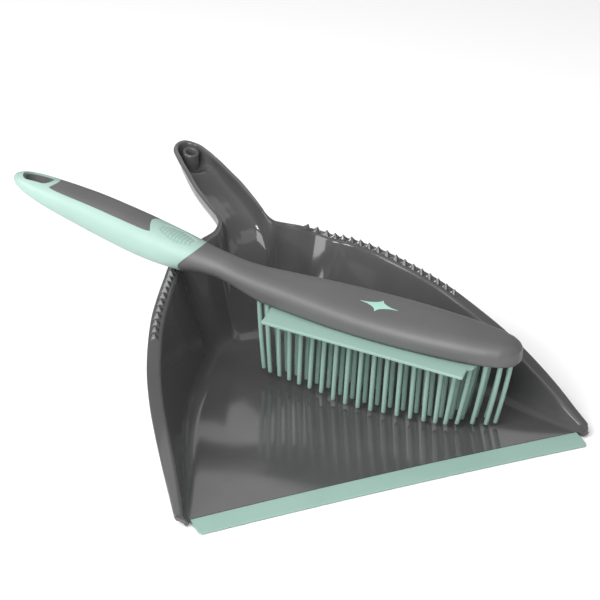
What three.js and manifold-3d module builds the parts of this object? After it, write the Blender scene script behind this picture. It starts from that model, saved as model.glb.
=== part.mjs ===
// Dust pan and brush set: a pan moulding with a soft lip, and a brush lying in it.
// Millimetres, +Z up, +X along the lip, +Y from the lip to the pan's handle. Dimensions along Y are
// measured from the lip's front edge; the last step moves the part to its origin.
import * as THREE from "three";
import { mergeVertices } from "three/addons/utils/BufferGeometryUtils.js";
import Module from "manifold-3d";

const wasm = await Module();
wasm.setup();
const V = (x, y, z) => new THREE.Vector3(x, y, z);

// ---------------------------------------------------------------- driving dimensions
const GAP = 0.3; // running clearance between separate mouldings
const ORIGIN_Y = 100; // the part's origin, on the floor's underside, this far behind the lip's front edge
const PAN = {
  wall: 2.2, // shell thickness, also the height of the floor's top face
  frontY: 14, // front edge of the floor behind the lip
  bow: 2, // how far the front edge bows towards the handle at the middle
  rabbetDepth: 5.3, // underside step that takes the lip's tongue
  rabbetHeight: 0.9,
  earX: 121.4, earHalfWidth: 3.1, earReach: 5.6, // front ends of the side walls beside the lip
};
const TEETH = { left: 16, right: 18, pitch: 6.38, firstX: 39, length: 4.9, width: 4.4, height: 3.2, sink: 0.7 };
const BOSS = { y: 305.2, holeR: 3, topZ: 83.9, slant: 0.3 }; // top lower at the front
const BOSS_RINGS = [ // half width across and along the handle at each height; the foot stays inside the pocket's wall
  [2.6, 5.4, 71.7], [4.3, 5.9, 72.8], [5.1, 5.7, 73.8], [5.4, 5.5, 75.4], [5, 5, BOSS.topZ],
];
const LIP = { halfWidth: 117.6, depth: 13.7, frontThick: 0.7, backThick: 2.3, tongue: 5, tongueThick: 0.6 };
const BRUSH = { x: 86.8, y: 27.0, z: 46.0, heading: 129.4, pitch: 3.1 }; // head end, skirt plane
const HEAD = { recess: 3, plateInset: 2.4, hollowInset: 5, hollowTop: 9, hollowFrom: 14, hollowTo: 150 };
const INSERT = { from: 4.6, to: 164.6, above: 2.6 };
const BLADE = { below: 1.95, above: 0.3, from: 20.3, to: 150.4 };
const BLADE_EDGE = [ // from the neck end round the free edge to the head end: s, t
  [149.6, 16], [148.2, 20], [147, 31.4], [145.6, 31.4], [22.6, 31.4], [21.6, 30.8], [23.3, 20.5], [20.7, 17.5],
];
const FINGER = {
  length: 43.4, extra: 1.8, bulge: 1.8, rootR: 1.5, tipR: 1.35, pitch: 8.2, inset: 5, rowGap: 7.2, sides: 6, splay: 0.05,
  from: 5.6, to: 161.4, endGap: 8.6, roundFrom: 36, // rings of roots, and where the field starts to round off
};
const HOLE = { s: 316, halfLength: 8.8, halfWidth: 4.3, liner: 1.5 };
const CORE = { from: 190, skin: 2.6 }; // rigid core inside the soft grip
const CORE_RING_TOP = 1.4; // how far the core's eye stays under the grip's surface

// Pan, right half, from the front corner round to the handle tip. Each row is one cross-section:
// rim outer edge x,y,z | flange width | floor corner x,y,z | spine y,z | corner fillet | rim fillet
const PAN_ROWS = [
  [125.5, 14, 5.4, 3.6, 119.4, 14, 2.2, 14, 2.2, 3.4, 1.9],
  [123.8, 24, 9.6, 5.2, 115.4, 24, 2.2, 24, 2.2, 5, 2.2],
  [120.5, 44, 18.4, 6.6, 108.2, 43, 2.2, 42, 2.2, 7.5, 2.0],
  [116.2, 66, 26.6, 7.0, 100.6, 64, 2.2, 62, 2.2, 9, 1.7],
  [111.0, 88, 33.8, 7.0, 92.6, 85, 2.2, 82, 2.2, 9, 1.6],
  [103.8, 111, 40.4, 7.0, 83.2, 106, 2.2, 101, 2.2, 9, 1.6],
  [95.2, 131.8, 47.0, 7.0, 73.2, 126, 2.2, 119, 2.2, 9, 1.6],
  [84.4, 154.0, 52.2, 7.0, 62.2, 144, 2.2, 135, 2.2, 9, 1.6],
  [73.2, 172.2, 56.6, 7.0, 51.2, 161.4, 2.2, 150, 2.2, 9, 1.6],
  [62.2, 190.2, 58.4, 7.0, 41.6, 175.4, 2.2, 163, 2.2, 9, 1.6],
  [55.0, 203.4, 57.3, 6.8, 35.6, 183.2, 2.2, 171.6, 2.2, 9, 1.6],
  [47.4, 211.8, 58.9, 6.3, 29.4, 189, 2.2, 179.6, 2.2, 9, 1.6],
  [35.6, 215.4, 62.9, 5.4, 22.4, 194.4, 2.2, 186.8, 2.2, 9, 1.7],
  [27.6, 217.6, 65.0, 4.4, 17.4, 198.4, 3.2, 193.4, 2.7, 8, 1.7],
  [23.2, 217.9, 66.5, 3.7, 15.2, 202, 8.6, 199.6, 7.0, 7, 1.6],
  [19.9, 218.0, 68.0, 3.2, 13.9, 205.2, 22.5, 204, 20.0, 6.5, 1.5],
  [17.3, 219.3, 70.0, 2.7, 12.7, 209.6, 39.6, 208.6, 37.4, 6.5, 1.3],
  [15.2, 221.6, 72.8, 2.4, 11.6, 215.2, 52.2, 214.2, 50.6, 6.8, 1.1],
  [14.8, 226.4, 74.6, 2.3, 11.3, 222.8, 60.5, 222.6, 59.6, 7, 1],
  [15.0, 237.0, 76.0, 2.3, 11.6, 234.8, 64.4, 234.6, 63.8, 7.5, 1],
  [15.0, 248.6, 77.4, 2.3, 12.1, 247.6, 66.4, 247.4, 66.0, 7.5, 1],
  [14.8, 259.0, 78.7, 2.3, 12.2, 258.6, 68.0, 258.6, 67.6, 7, 1],
  [14.0, 269.4, 79.9, 2.3, 11.8, 269.2, 69.7, 269.2, 69.4, 6.3, 1],
  [13.0, 279.6, 81.3, 2.3, 10.9, 279.4, 72.0, 279.2, 71.7, 5.5, 1],
  [12.2, 288.0, 82.4, 2.3, 9.9, 288.0, 74.4, 286, 74.2, 5, 1],
  [11.6, 293.6, 82.9, 2.3, 9.0, 293.6, 75.2, 290, 75.0, 4.5, 1],
  [10.8, 300.0, 83.6, 2.3, 5.6, 299.0, 73.6, 294.6, 73.2, 5, 1],
  [9.8, 306.8, 84.1, 2.3, 4.6, 304.4, 72.9, 301.6, 72.6, 5, 1],
  [8.9, 311.1, 84.5, 2.3, 4.2, 308.8, 72.9, 306.6, 72.6, 4.4, 1],
  [7.2, 314.9, 84.8, 2.3, 3.6, 311.6, 73.0, 309.4, 72.8, 3.4, 1],
  [4.5, 318.1, 85.4, 2.3, 2.3, 313.6, 73.2, 310.8, 72.9, 2.8, 1],
  [2.0, 319.3, 85.9, 2.3, 1.1, 314.6, 73.2, 311.2, 73.0, 2.2, 1],
  [0, 319.6, 86.0, 2.3, 0, 314.8, 73.2, 311.4, 73.0, 2.0, 1],
];
const ROW_SPLITS = 2; // smooth sections inserted between the rows

// Brush skin along its length: s | half width | height of the widest line | above it | below it |
// roundness above | roundness below (1 is an ellipse, smaller is squarer)
const SKIN = [
  [0, 3.4, 5.2, 3.4, 4.2, 0.9, 0.6],
  [1.2, 6.6, 5, 5.0, 4.9, 0.86, 0.4],
  [3.6, 9.4, 5, 6.6, 5.0, 0.82, 0.3],
  [8, 12.4, 5, 7.8, 5, 0.8, 0.24],
  [16, 15.2, 5, 8.7, 5, 0.8, 0.22],
  [30, 17.8, 5, 9.4, 5, 0.8, 0.22],
  [48, 19.8, 5, 9.8, 5, 0.8, 0.22],
  [70, 21.0, 5, 10.0, 5, 0.8, 0.22],
  [92, 20.8, 5, 10.2, 5, 0.8, 0.22],
  [112, 19.2, 5, 10.4, 5, 0.8, 0.22],
  [130, 16.9, 5, 10.6, 5, 0.82, 0.22],
  [146, 14.6, 5.2, 10.4, 5.2, 0.85, 0.24],
  [158, 12.9, 5.8, 9.7, 5.8, 0.88, 0.26],
  [168, 11.5, 7.2, 8.5, 6.1, 0.93, 0.42],
  [178, 10.4, 9.0, 7.6, 6.4, 0.98, 0.66],
  [188, 9.9, 10.9, 7.5, 7.0, 1, 0.88],
  [200, 10.7, 11.7, 8.9, 8.0, 1, 1],
  [212, 12.3, 12.9, 10.4, 10.0, 1, 0.9],
  [224, 13.4, 14.4, 11.4, 11.2, 1, 0.88],
  [240, 14.0, 16.8, 12.1, 12.3, 1, 0.92],
  [258, 13.9, 19.8, 12.2, 12.4, 1, 1],
  [276, 13.5, 23.2, 11.4, 11.6, 1, 1],
  [292, 12.7, 26.0, 10.0, 10.4, 1, 1],
  [304, 11.9, 28.0, 8.8, 9.2, 1, 1],
  [314, 10.9, 29.8, 7.6, 7.8, 1, 1],
  [322, 9.2, 31.2, 6.2, 6.2, 1, 1],
  [328, 6.9, 32.3, 4.6, 4.6, 1, 1],
  [331.6, 4.2, 32.9, 2.9, 2.9, 1, 1],
  [333, 1.6, 33.2, 1.2, 1.2, 1, 1],
];
// Where the soft grip starts, seen from the side: s at each height above the skirt plane.
const SEAM = [[-10, 210.5], [4, 210.5], [6.5, 212.6], [9, 213.2], [12, 211.6], [17, 206.8], [21, 202.6], [40, 184]];
// Rigid window flush in the top of the grip: s | half width
const WINDOW = [
  [302, 0], [302.6, 2.9], [303.9, 5.4], [304.9, 6.8], [301.5, 7.6], [295, 8.2], [285, 8.7], [272, 9.1], [255, 9.3],
  [239, 9.2], [234.2, 8.4],
];
const WINDOW_NOTCH = [[236.4, 4.2], [237.6, 0]]; // the curved front end of the window

// ---------------------------------------------------------------- solids
const toManifold = (geometry) => {
  geometry.deleteAttribute("normal");
  geometry.deleteAttribute("uv");
  const g = mergeVertices(geometry, 1e-4);
  const solid = new wasm.Manifold(new wasm.Mesh({
    numProp: 3,
    vertProperties: new Float32Array(g.attributes.position.array),
    triVerts: new Uint32Array(g.index.array),
  }));
  return solid;
};

const toMesh = (solid, name, material) => {
  const m = solid.getMesh();
  const g = new THREE.BufferGeometry();
  g.setAttribute("position", new THREE.BufferAttribute(new Float32Array(m.vertProperties), 3));
  g.setIndex(new THREE.BufferAttribute(new Uint32Array(m.triVerts), 1));
  g.computeVertexNormals();
  const mesh = new THREE.Mesh(g, material);
  mesh.name = name;
  return mesh;
};

const indexed = (points, faces) => {
  const g = new THREE.BufferGeometry();
  g.setAttribute("position", new THREE.BufferAttribute(new Float32Array(points.flatMap((p) => p.toArray())), 3));
  g.setIndex(faces);
  return toManifold(g);
};

// Closed solid through rings of equal length, each ring anticlockwise seen from the far end.
const loft = (rings) => {
  const n = rings[0].length;
  const points = rings.flat();
  const faces = [];
  for (let i = 0; i + 1 < rings.length; i++) {
    for (let j = 0; j < n; j++) {
      const a = i * n + j, b = i * n + ((j + 1) % n), c = a + n, d = b + n;
      faces.push(a, b, d, a, d, c);
    }
  }
  for (const [ring, base, flip] of [[rings[0], 0, true], [rings.at(-1), (rings.length - 1) * n, false]]) {
    const mid = ring.reduce((sum, p) => sum.add(p), V(0, 0, 0)).divideScalar(n);
    const k = points.push(mid) - 1;
    for (let j = 0; j < n; j++) {
      const a = base + j, b = base + ((j + 1) % n);
      faces.push(...(flip ? [k, b, a] : [k, a, b]));
    }
  }
  return indexed(points, faces);
};

const union = (solids) => solids.reduce((a, b) => a.add(b));
const plate = (outline, z0, z1) => {
  const shape = new THREE.Shape(outline.map(([x, y]) => new THREE.Vector2(x, y)));
  const g = new THREE.ExtrudeGeometry(shape, { depth: z1 - z0, bevelEnabled: false });
  g.translate(0, 0, z0);
  return toManifold(g);
};

// Catmull-Rom value of a table column at a fractional row.
const rowAt = (table, r) => {
  const i = Math.min(Math.floor(r), table.length - 2), f = r - i;
  const at = (k) => table[Math.max(0, Math.min(table.length - 1, k))];
  const [p0, p1, p2, p3] = [at(i - 1), at(i), at(i + 1), at(i + 2)];
  return p1.map((_, k) => {
    const m1 = (p2[k] - p0[k]) / 2, m2 = (p3[k] - p1[k]) / 2;
    const f2 = f * f, f3 = f2 * f;
    return (2 * f3 - 3 * f2 + 1) * p1[k] + (f3 - 2 * f2 + f) * m1 + (-2 * f3 + 3 * f2) * p2[k] + (f3 - f2) * m2;
  });
};
const fine = (table, splits) => {
  const out = [];
  for (let i = 0; i < (table.length - 1) * splits + 1; i++) out.push(rowAt(table, i / splits));
  return out;
};
// Value of column k where the first column equals s.
const along = (table, s, k) => {
  let i = 0;
  while (i < table.length - 2 && table[i + 1][0] < s) i++;
  const f = (s - table[i][0]) / (table[i + 1][0] - table[i][0]);
  return rowAt(table, i + Math.max(0, Math.min(1, f)))[k];
};

// ---------------------------------------------------------------- pan
const bowAt = (x) => PAN.bow * (1 - (x / 118) ** 2);
const frontBow = (x, y) => (Math.abs(x) < 118 ? bowAt(x) * Math.max(0, 1 - (y - PAN.frontY) / 60) : 0);

const bezier = (a, k, b, f) => a.clone().multiplyScalar((1 - f) ** 2)
  .addScaledVector(k, 2 * f * (1 - f)).addScaledVector(b, f * f);

// One pan cross-section on the right half, rim edge first, spine last.
const panSection = ([rx, ry, rz, flange, kx, ky, kz, sy, sz, cornerR, rimR]) => {
  const rim = V(rx, ry, rz), corner = V(kx, ky, kz), spine = V(0, sy, sz);
  const inward = V(kx - rx, ky - ry, 0);
  if (inward.length() < 1e-6) inward.set(0, -1, 0);
  inward.normalize();
  const edge = rim.clone().addScaledVector(inward, flange); // theoretical flange/wall corner
  const down = corner.clone().sub(edge), wallLength = down.length();
  down.normalize();
  const r1 = Math.min(rimR, flange * 0.55, wallLength * 0.3);
  const a1 = edge.clone().addScaledVector(inward, -r1), b1 = edge.clone().addScaledVector(down, r1);
  const toSpine = spine.clone().sub(corner), floorLength = toSpine.length();
  if (floorLength > 1e-6) toSpine.normalize();
  const r2 = Math.min(cornerR, wallLength * 0.6);
  const r2b = Math.min(cornerR, floorLength * 0.85);
  const a2 = corner.clone().addScaledVector(down, -r2), b2 = corner.clone().addScaledVector(toSpine, r2b);
  const points = [rim, a1, bezier(a1, edge, b1, 0.5), b1];
  points.push(b1.clone().lerp(a2, 0.5), a2);
  for (const f of [0.25, 0.5, 0.75]) points.push(bezier(a2, corner, b2, f));
  points.push(b2, b2.clone().lerp(spine, 0.5), spine);
  for (const p of points) p.y += frontBow(p.x, p.y);
  return points;
};

const buildPanShell = () => {
  const sections = fine(PAN_ROWS, ROW_SPLITS).map(panSection);
  const n = sections[0].length, rows = sections.length;
  sections.at(-1).forEach((p) => { p.x = 0; });
  for (const s of sections) s[n - 1].x = 0;
  for (const p of sections[0]) { // rounded ears that hug the ends of the lip
    const across = (p.x - PAN.earX) / PAN.earHalfWidth;
    if (Math.abs(across) < 1) p.y -= PAN.earReach * Math.sqrt(1 - across ** 2);
  }
  const width = 2 * n - 1; // left rim ... spine ... right rim
  const full = sections.map((s) => [
    ...s.map((p) => V(-p.x, p.y, p.z)), ...s.slice(0, -1).reverse().map((p) => p.clone()),
  ]);
  const last = rows - 1;
  const id = (i, j) => (i === last && j >= n ? i * width + (width - 1 - j) : i * width + j);
  const normals = full.flat().map(() => V(0, 0, 0));
  const flat = full.flat();
  const quads = [];
  for (let i = 0; i < last; i++) {
    for (let j = 0; j + 1 < width; j++) quads.push([id(i, j), id(i, j + 1), id(i + 1, j + 1), id(i + 1, j)]);
  }
  const tris = quads.flatMap(([a, b, c, d], q) => {
    const j = q % (width - 1);
    const pair = j < n - 1 ? [[a, b, c], [a, c, d]] : [[a, b, d], [b, c, d]];
    return pair.filter(([x, y, z]) => x !== y && y !== z && x !== z);
  });
  for (const [a, b, c] of tris) {
    const m = flat[b].clone().sub(flat[a]).cross(flat[c].clone().sub(flat[a]));
    for (const k of [a, b, c]) normals[k].add(m);
  }
  flat.forEach((p, k) => {
    if (Math.abs(p.x) < 1e-9) normals[k].x = 0;
    normals[k].normalize();
  });
  const outer = flat.map((p, k) => {
    const m = normals[k];
    if (k < width) m.y = 0; // the front face stays upright
    return p.clone().addScaledVector(m.normalize(), -PAN.wall);
  });
  const count = flat.length;
  const faces = tris.flatMap(([a, b, c]) => [a, b, c, a + count, c + count, b + count]);
  const strip = (a, b) => faces.push(a, a + count, b + count, a, b + count, b);
  for (let j = 0; j + 1 < width; j++) strip(id(0, j), id(0, j + 1)); // front edge
  for (let i = 0; i < last; i++) {
    strip(id(i + 1, 0), id(i, 0)); // left rim
    strip(id(i, width - 1), id(i + 1, width - 1)); // right rim
  }
  const shell = indexed([...flat, ...outer], faces);

  const post = loft(BOSS_RINGS.map(([a, b, z]) => Array.from({ length: 24 }, (_, k) => {
    const t = (Math.PI * k) / 12;
    return V(a * Math.cos(t), BOSS.y + b * Math.sin(t), z + (z === BOSS.topZ ? BOSS.slant * b * Math.sin(t) : 0));
  })));
  const bore = new THREE.CylinderGeometry(BOSS.holeR, BOSS.holeR, 60, 24);
  bore.rotateX(Math.PI / 2).translate(0, BOSS.y, BOSS.topZ - 10);
  const rabbet = lipStrip([
    [-3, -1], [PAN.rabbetDepth, -1], [PAN.rabbetDepth, PAN.rabbetHeight], [-3, PAN.rabbetHeight],
  ].map(([y, z]) => [y + PAN.frontY, z]), LIP.halfWidth + GAP, 0);
  return union([shell, post, ...combTeeth(sections)]).subtract(toManifold(bore)).subtract(rabbet);
};

// Pyramid teeth standing on the rim flange, both sides, spaced by arc length from the one next to the handle.
const combTeeth = (sections) => {
  const line = sections.map((s) => s[0].clone().lerp(s[1], 0.55)).reverse();
  const root = line.findIndex((p) => p.x > TEETH.firstX);
  const path = line.slice(root);
  path.unshift(line[root - 1].clone().lerp(line[root], (TEETH.firstX - line[root - 1].x) / (line[root].x - line[root - 1].x)));
  const teeth = [];
  let walked = 0, next = 0, i = 0;
  while (teeth.length < TEETH.right && i + 1 < path.length) {
    const step = path[i].distanceTo(path[i + 1]);
    if (walked + step < next) { walked += step; i++; continue; }
    teeth.push([path[i].clone().lerp(path[i + 1], (next - walked) / step), path[i + 1].clone().sub(path[i]).normalize()]);
    next += TEETH.pitch;
  }
  return teeth.flatMap(([p, t], k) => (k < TEETH.left ? [1, -1] : [1]).map((side) => {
    const tangent = V(t.x * side, t.y, t.z), at = V(p.x * side, p.y, p.z);
    const across = V(-tangent.y, tangent.x, 0).normalize();
    const up = tangent.clone().cross(across).normalize();
    if (up.z < 0) up.negate();
    const ring = (h, a, b) => [[-a, -b], [a, -b], [a, b], [-a, b]].map(([x, y]) => at.clone()
      .addScaledVector(tangent, x).addScaledVector(across, y).addScaledVector(up, h));
    const rings = [ring(-TEETH.sink, TEETH.length / 2, TEETH.width / 2), ring(TEETH.height, 0.35, 0.35)];
    const right = tangent.clone().cross(across).z > 0;
    return loft(right ? rings : rings.map((r) => r.reverse()));
  }));
};

// Strip along the bowed front edge from a closed y,z profile (anticlockwise seen from +X).
function lipStrip(profile, halfWidth, round) {
  const rings = [];
  const count = 20;
  for (let i = 0; i <= count; i++) {
    const x = -halfWidth + (2 * halfWidth * i) / count;
    rings.push([x, 0]);
  }
  if (round > 0) {
    rings[0][1] = round;
    rings.splice(1, 0, [-halfWidth + round * 0.3, round * 0.3], [-halfWidth + round, 0]);
    rings.at(-1)[1] = round;
    rings.splice(rings.length - 1, 0, [halfWidth - round, 0], [halfWidth - round * 0.3, round * 0.3]);
  }
  return loft(rings.map(([x, back]) => profile.map(([y, z]) => V(x, Math.max(y, back) + bowAt(x), z))));
}

const buildLip = () => lipStrip([
  [0, 0], [LIP.depth + LIP.tongue, 0], [LIP.depth + LIP.tongue, LIP.tongueThick], [LIP.depth, LIP.tongueThick],
  [LIP.depth, LIP.backThick], [LIP.depth * 0.45, 1.7], [0.3, LIP.frontThick],
], LIP.halfWidth, 2.6);

// ---------------------------------------------------------------- brush, in its own frame
// x runs along the brush from the head end, y to the near side, z up from the skirt plane.
const power = (c, e) => Math.sign(c) * Math.abs(c) ** e;
const skinRing = ([s, w, mid, up, down, eUp, eDown], shrink = 0, count = 28) => {
  const ring = [];
  for (let k = 0; k < count; k++) {
    const a = (2 * Math.PI * k) / count, c = Math.cos(a), d = Math.sin(a);
    const e = d >= 0 ? eUp : eDown, h = d >= 0 ? up : down;
    ring.push(V(s, Math.max(0.3, w - shrink) * power(c, e), mid + Math.max(0.3, h - shrink) * power(d, e)));
  }
  return ring;
};
const skinBetween = (s0, s1, shrink = 0, step = 6, count = 28) => {
  const steps = Math.ceil((s1 - s0) / step), rings = [];
  for (let i = 0; i <= steps; i++) {
    const s = s0 + ((s1 - s0) * i) / steps;
    rings.push(skinRing(SKIN[0].map((_, k) => (k ? along(SKIN, s, k) : s)), shrink, count));
  }
  return loft(rings);
};
const wholeSkin = () => loft([...fine(SKIN.slice(0, 6), 1), ...fine(SKIN, 2).slice(12)].map((row) => skinRing(row)));

// Plan outline of the head, inset from the skirt, both sides, anticlockwise.
const headOutline = (inset, s0, s1, count = 26) => {
  const near = [];
  for (let i = 0; i <= count; i++) {
    const f = i / count, s = s0 + (s1 - s0) * (0.5 - 0.5 * Math.cos(Math.PI * f));
    near.push([s, Math.max(0.8, along(SKIN, s, 1) - inset)]);
  }
  return [...near.map(([s, w]) => [s, -w]), ...near.reverse()];
};

const seamSolid = (shift) => {
  const outline = [[400, -10], ...SEAM.map(([z, s]) => [s + shift, z]), [400, 40]];
  const shape = new THREE.Shape(outline.map(([s, z]) => new THREE.Vector2(s, z)));
  const g = new THREE.ExtrudeGeometry(shape, { depth: 60, bevelEnabled: false });
  g.rotateX(Math.PI / 2).translate(0, 30, 0);
  return toManifold(g);
};

const windowPrism = (grow) => {
  const side = WINDOW.map(([s, w]) => [s + (s > 302.2 || w < 3 ? grow : 0), w + grow * (w > 6 ? 1 : 0)]);
  const notch = WINDOW_NOTCH.map(([s, w]) => [s - grow, w]);
  side[side.length - 1][0] -= grow;
  const half = [...side, ...notch];
  const outline = [...half, ...half.slice(1, -1).reverse().map(([s, w]) => [s, -w])];
  return plate(outline.reverse(), 21.5, 60);
};

const slot = (grow, z0, z1) => {
  const { s, halfLength, halfWidth } = HOLE, r = halfWidth + grow, flat = halfLength - halfWidth;
  const outline = [];
  for (let k = 0; k < 24; k++) {
    const a = (2 * Math.PI * (k + 0.5)) / 24;
    outline.push([s + Math.sign(Math.cos(a)) * flat + r * Math.cos(a), r * Math.sin(a)]);
  }
  return plate(outline, z0, z1);
};

const buildBrushBody = (skin) => {
  const front = skin.subtract(seamSolid(-GAP));
  const core = skinBetween(CORE.from, HOLE.s - 5, CORE.skin + GAP, 8, 20);
  const boss = skin.intersect(windowPrism(0)).intersect(skinBetween(225, 308, 0, 8, 28));
  const lowered = skinBetween(HOLE.s - HOLE.halfLength - 2.6, HOLE.s + HOLE.halfLength + 2.6, CORE_RING_TOP, 4, 20);
  const eye = lowered.intersect(slot(HOLE.liner, 0, 60));
  const recess = plate(headOutline(HEAD.plateInset, INSERT.from - 0.4, INSERT.to + 0.4), -3, HEAD.recess);
  const hollow = plate(headOutline(HEAD.hollowInset, HEAD.hollowFrom, HEAD.hollowTo), 1, HEAD.hollowTop);
  return union([front, core, boss, eye]).subtract(recess).subtract(hollow).subtract(slot(0, -10, 80));
};

const buildGrip = (skin) => skin.intersect(seamSolid(0))
  .subtract(skinBetween(CORE.from - 4, HOLE.s - 4.6, CORE.skin, 8, 20))
  .subtract(windowPrism(GAP))
  .subtract(slot(HOLE.liner + GAP, -10, 80));

// Fingers on rings that follow the head outline, each leaning in a little at the ends.
const fingerRoots = () => {
  const roots = [];
  for (let ring = 0; ring < 3; ring++) {
    const from = FINGER.from + ring * FINGER.endGap, to = FINGER.to - ring * FINGER.endGap;
    const outline = headOutline(FINGER.inset + ring * FINGER.rowGap, from, to, 60).map(([x, y]) => {
      const short = Math.max(0, (FINGER.roundFrom - x) / (FINGER.roundFrom - from + 1.5));
      return new THREE.Vector2(x, y * Math.sqrt(1 - short * short));
    });
    const open = outline.filter((p) => Math.abs(p.y) > 0.85 || ring < 2);
    const lengths = open.map((p, i) => p.distanceTo(open[(i + 1) % open.length]));
    const total = lengths.reduce((a, b) => a + b), count = Math.round(total / FINGER.pitch);
    for (let k = 0; k < count; k++) {
      let d = (total * (k + (ring % 2) * 0.5)) / count, i = 0;
      while (d > lengths[i]) d -= lengths[i++];
      const p = open[i].clone().lerp(open[(i + 1) % open.length], d / lengths[i]);
      if (roots.every((q) => q.distanceTo(p) > 4.6)) roots.push(p);
    }
  }
  return roots;
};
// Lean along the brush at the tip, and how far the fingers of the head end draw in and shorten.
const fingerLean = (s) => (s < 45 ? 6 * Math.min(1, (45 - s) / 20) : s > 120 ? -5.5 * ((s - 120) / 42) ** 1.4 : 0);
const drawIn = (s) => Math.max(0, Math.min(1, (40 - s) / 25)) ** 2;
const fingerLength = (s) => FINGER.length - 1.2 * drawIn(s)
  + FINGER.extra * Math.max(0, Math.min(1, (s - 42) / 30))
  + FINGER.bulge * Math.max(0, Math.min(1, (17 - Math.abs(s - 95)) / 6));

const buildInsert = (skin) => {
  const base = plate(headOutline(HEAD.plateInset + GAP, INSERT.from, INSERT.to), -1, INSERT.above).intersect(skin);
  const fingers = fingerRoots().map((p) => {
    const rings = [0, 0.5, 1].map((f) => {
      const r = FINGER.rootR + (FINGER.tipR - FINGER.rootR) * f, ring = [];
      const x = p.x + fingerLean(p.x) * f ** 1.3, y = p.y * (1 + (FINGER.splay - 0.35 * drawIn(p.x)) * f);
      const z = 0.5 - (fingerLength(p.x) + 0.5) * f;
      for (let k = 0; k < FINGER.sides; k++) {
        const q = (2 * Math.PI * k) / FINGER.sides;
        ring.push(V(x + r * Math.cos(q), y + r * Math.sin(q), z));
      }
      return ring;
    });
    return loft(rings.map((r) => r.reverse()));
  });
  return union([base, ...fingers]);
};

// Scraper blade: a flat plate under the near side of the skirt, its inner edge along the insert's edge.
const buildBlade = () => {
  const inner = headOutline(HEAD.plateInset, BLADE.from, BLADE.to).filter(([, t]) => t > 0).reverse();
  return plate([...inner, ...BLADE_EDGE], -BLADE.below, -BLADE.above);
};

// ---------------------------------------------------------------- assembly
const material = (name, color, roughness) => {
  const m = new THREE.MeshStandardMaterial({ color, roughness, metalness: 0 });
  m.name = name;
  return m;
};
const GREY = material("gloss_grey_pp", 0x57575a, 0.25);
const MINT = material("mint_tpe", 0x9dbdb2, 0.5);

const place = new THREE.Matrix4().makeTranslation(BRUSH.x, BRUSH.y, BRUSH.z)
  .multiply(new THREE.Matrix4().makeRotationZ(THREE.MathUtils.degToRad(BRUSH.heading)))
  .multiply(new THREE.Matrix4().makeRotationY(THREE.MathUtils.degToRad(-BRUSH.pitch)));

const model = new THREE.Group();
model.name = "dustpan_and_brush_set";
const skin = wholeSkin();
const add = (mesh, matrix) => {
  mesh.geometry.applyMatrix4(matrix).translate(0, -ORIGIN_Y, 0);
  model.add(mesh);
};
add(toMesh(buildPanShell(), "pan_shell", GREY), new THREE.Matrix4());
add(toMesh(buildLip(), "pan_lip", MINT), new THREE.Matrix4());
for (const [solid, name, look] of [
  [buildBrushBody(skin), "brush_body", GREY],
  [buildGrip(skin), "brush_grip", MINT],
  [buildInsert(skin), "brush_insert", MINT],
  [buildBlade(), "brush_blade", MINT],
]) {
  add(toMesh(solid, name, look), place);
}

export default model;
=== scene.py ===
# Dust pan and brush set: finer mouldings, materials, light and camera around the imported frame.
# Shapes are worked out in millimetres, lengthwise from the lip's front edge, then placed in the frame.
import math
import bmesh
import bpy
import numpy as np
from mathutils import Matrix, Vector


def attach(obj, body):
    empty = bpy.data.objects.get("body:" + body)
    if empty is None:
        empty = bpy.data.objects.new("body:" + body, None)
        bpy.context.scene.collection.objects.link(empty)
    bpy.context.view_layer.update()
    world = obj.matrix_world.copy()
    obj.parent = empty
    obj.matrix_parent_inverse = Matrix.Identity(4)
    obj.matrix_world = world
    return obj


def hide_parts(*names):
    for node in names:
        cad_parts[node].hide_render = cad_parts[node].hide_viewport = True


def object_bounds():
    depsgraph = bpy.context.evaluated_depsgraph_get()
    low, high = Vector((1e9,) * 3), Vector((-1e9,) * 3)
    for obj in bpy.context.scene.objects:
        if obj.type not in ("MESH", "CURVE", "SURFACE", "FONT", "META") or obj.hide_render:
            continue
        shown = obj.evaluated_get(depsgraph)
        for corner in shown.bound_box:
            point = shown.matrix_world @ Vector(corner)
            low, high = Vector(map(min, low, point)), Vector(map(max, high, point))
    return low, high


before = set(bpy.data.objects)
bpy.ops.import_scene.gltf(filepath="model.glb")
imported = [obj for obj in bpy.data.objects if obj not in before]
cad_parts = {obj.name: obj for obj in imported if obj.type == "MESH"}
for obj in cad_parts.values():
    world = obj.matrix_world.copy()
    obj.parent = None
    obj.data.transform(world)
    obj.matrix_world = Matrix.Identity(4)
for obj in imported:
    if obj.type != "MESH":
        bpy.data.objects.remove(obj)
CAD_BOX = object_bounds()
MM = 0.001
ORIGIN_Y = 100.0  # the frame's origin is this far behind the lip's front edge

# ------------------------------------------------------------------ dimensions, millimetres
# On the brush, s runs along it from the head end and t across it.
PAN = dict(wall=2.2, front_y=14.0, bow=2.0, bow_half_width=118, bow_fade=60, rabbet_depth=5.3,
           rabbet_height=0.9, rim_round=0.7, ear_x=121.4, ear_half_width=3.1, ear_reach=5.6)
TEETH = dict(left=16, right=18, pitch=6.38, first_x=39.0, length=4.9, width=4.4, height=3.2, sink=0.7)
BOSS = dict(y=305.2, hole=3.0, radius=5.0, top=83.9, round=0.7, slant=0.3, slant_depth=2)
# The post's foot: half width across and along the handle at each height, kept inside the pocket's wall.
BOSS_FOOT = [(2.6, 5.4, 71.7), (3.6, 5.8, 72.2), (4.3, 5.9, 72.8), (4.8, 5.85, 73.3), (5.1, 5.7, 73.8),
             (5.3, 5.58, 74.6), (5.4, 5.5, 75.4)]
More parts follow.
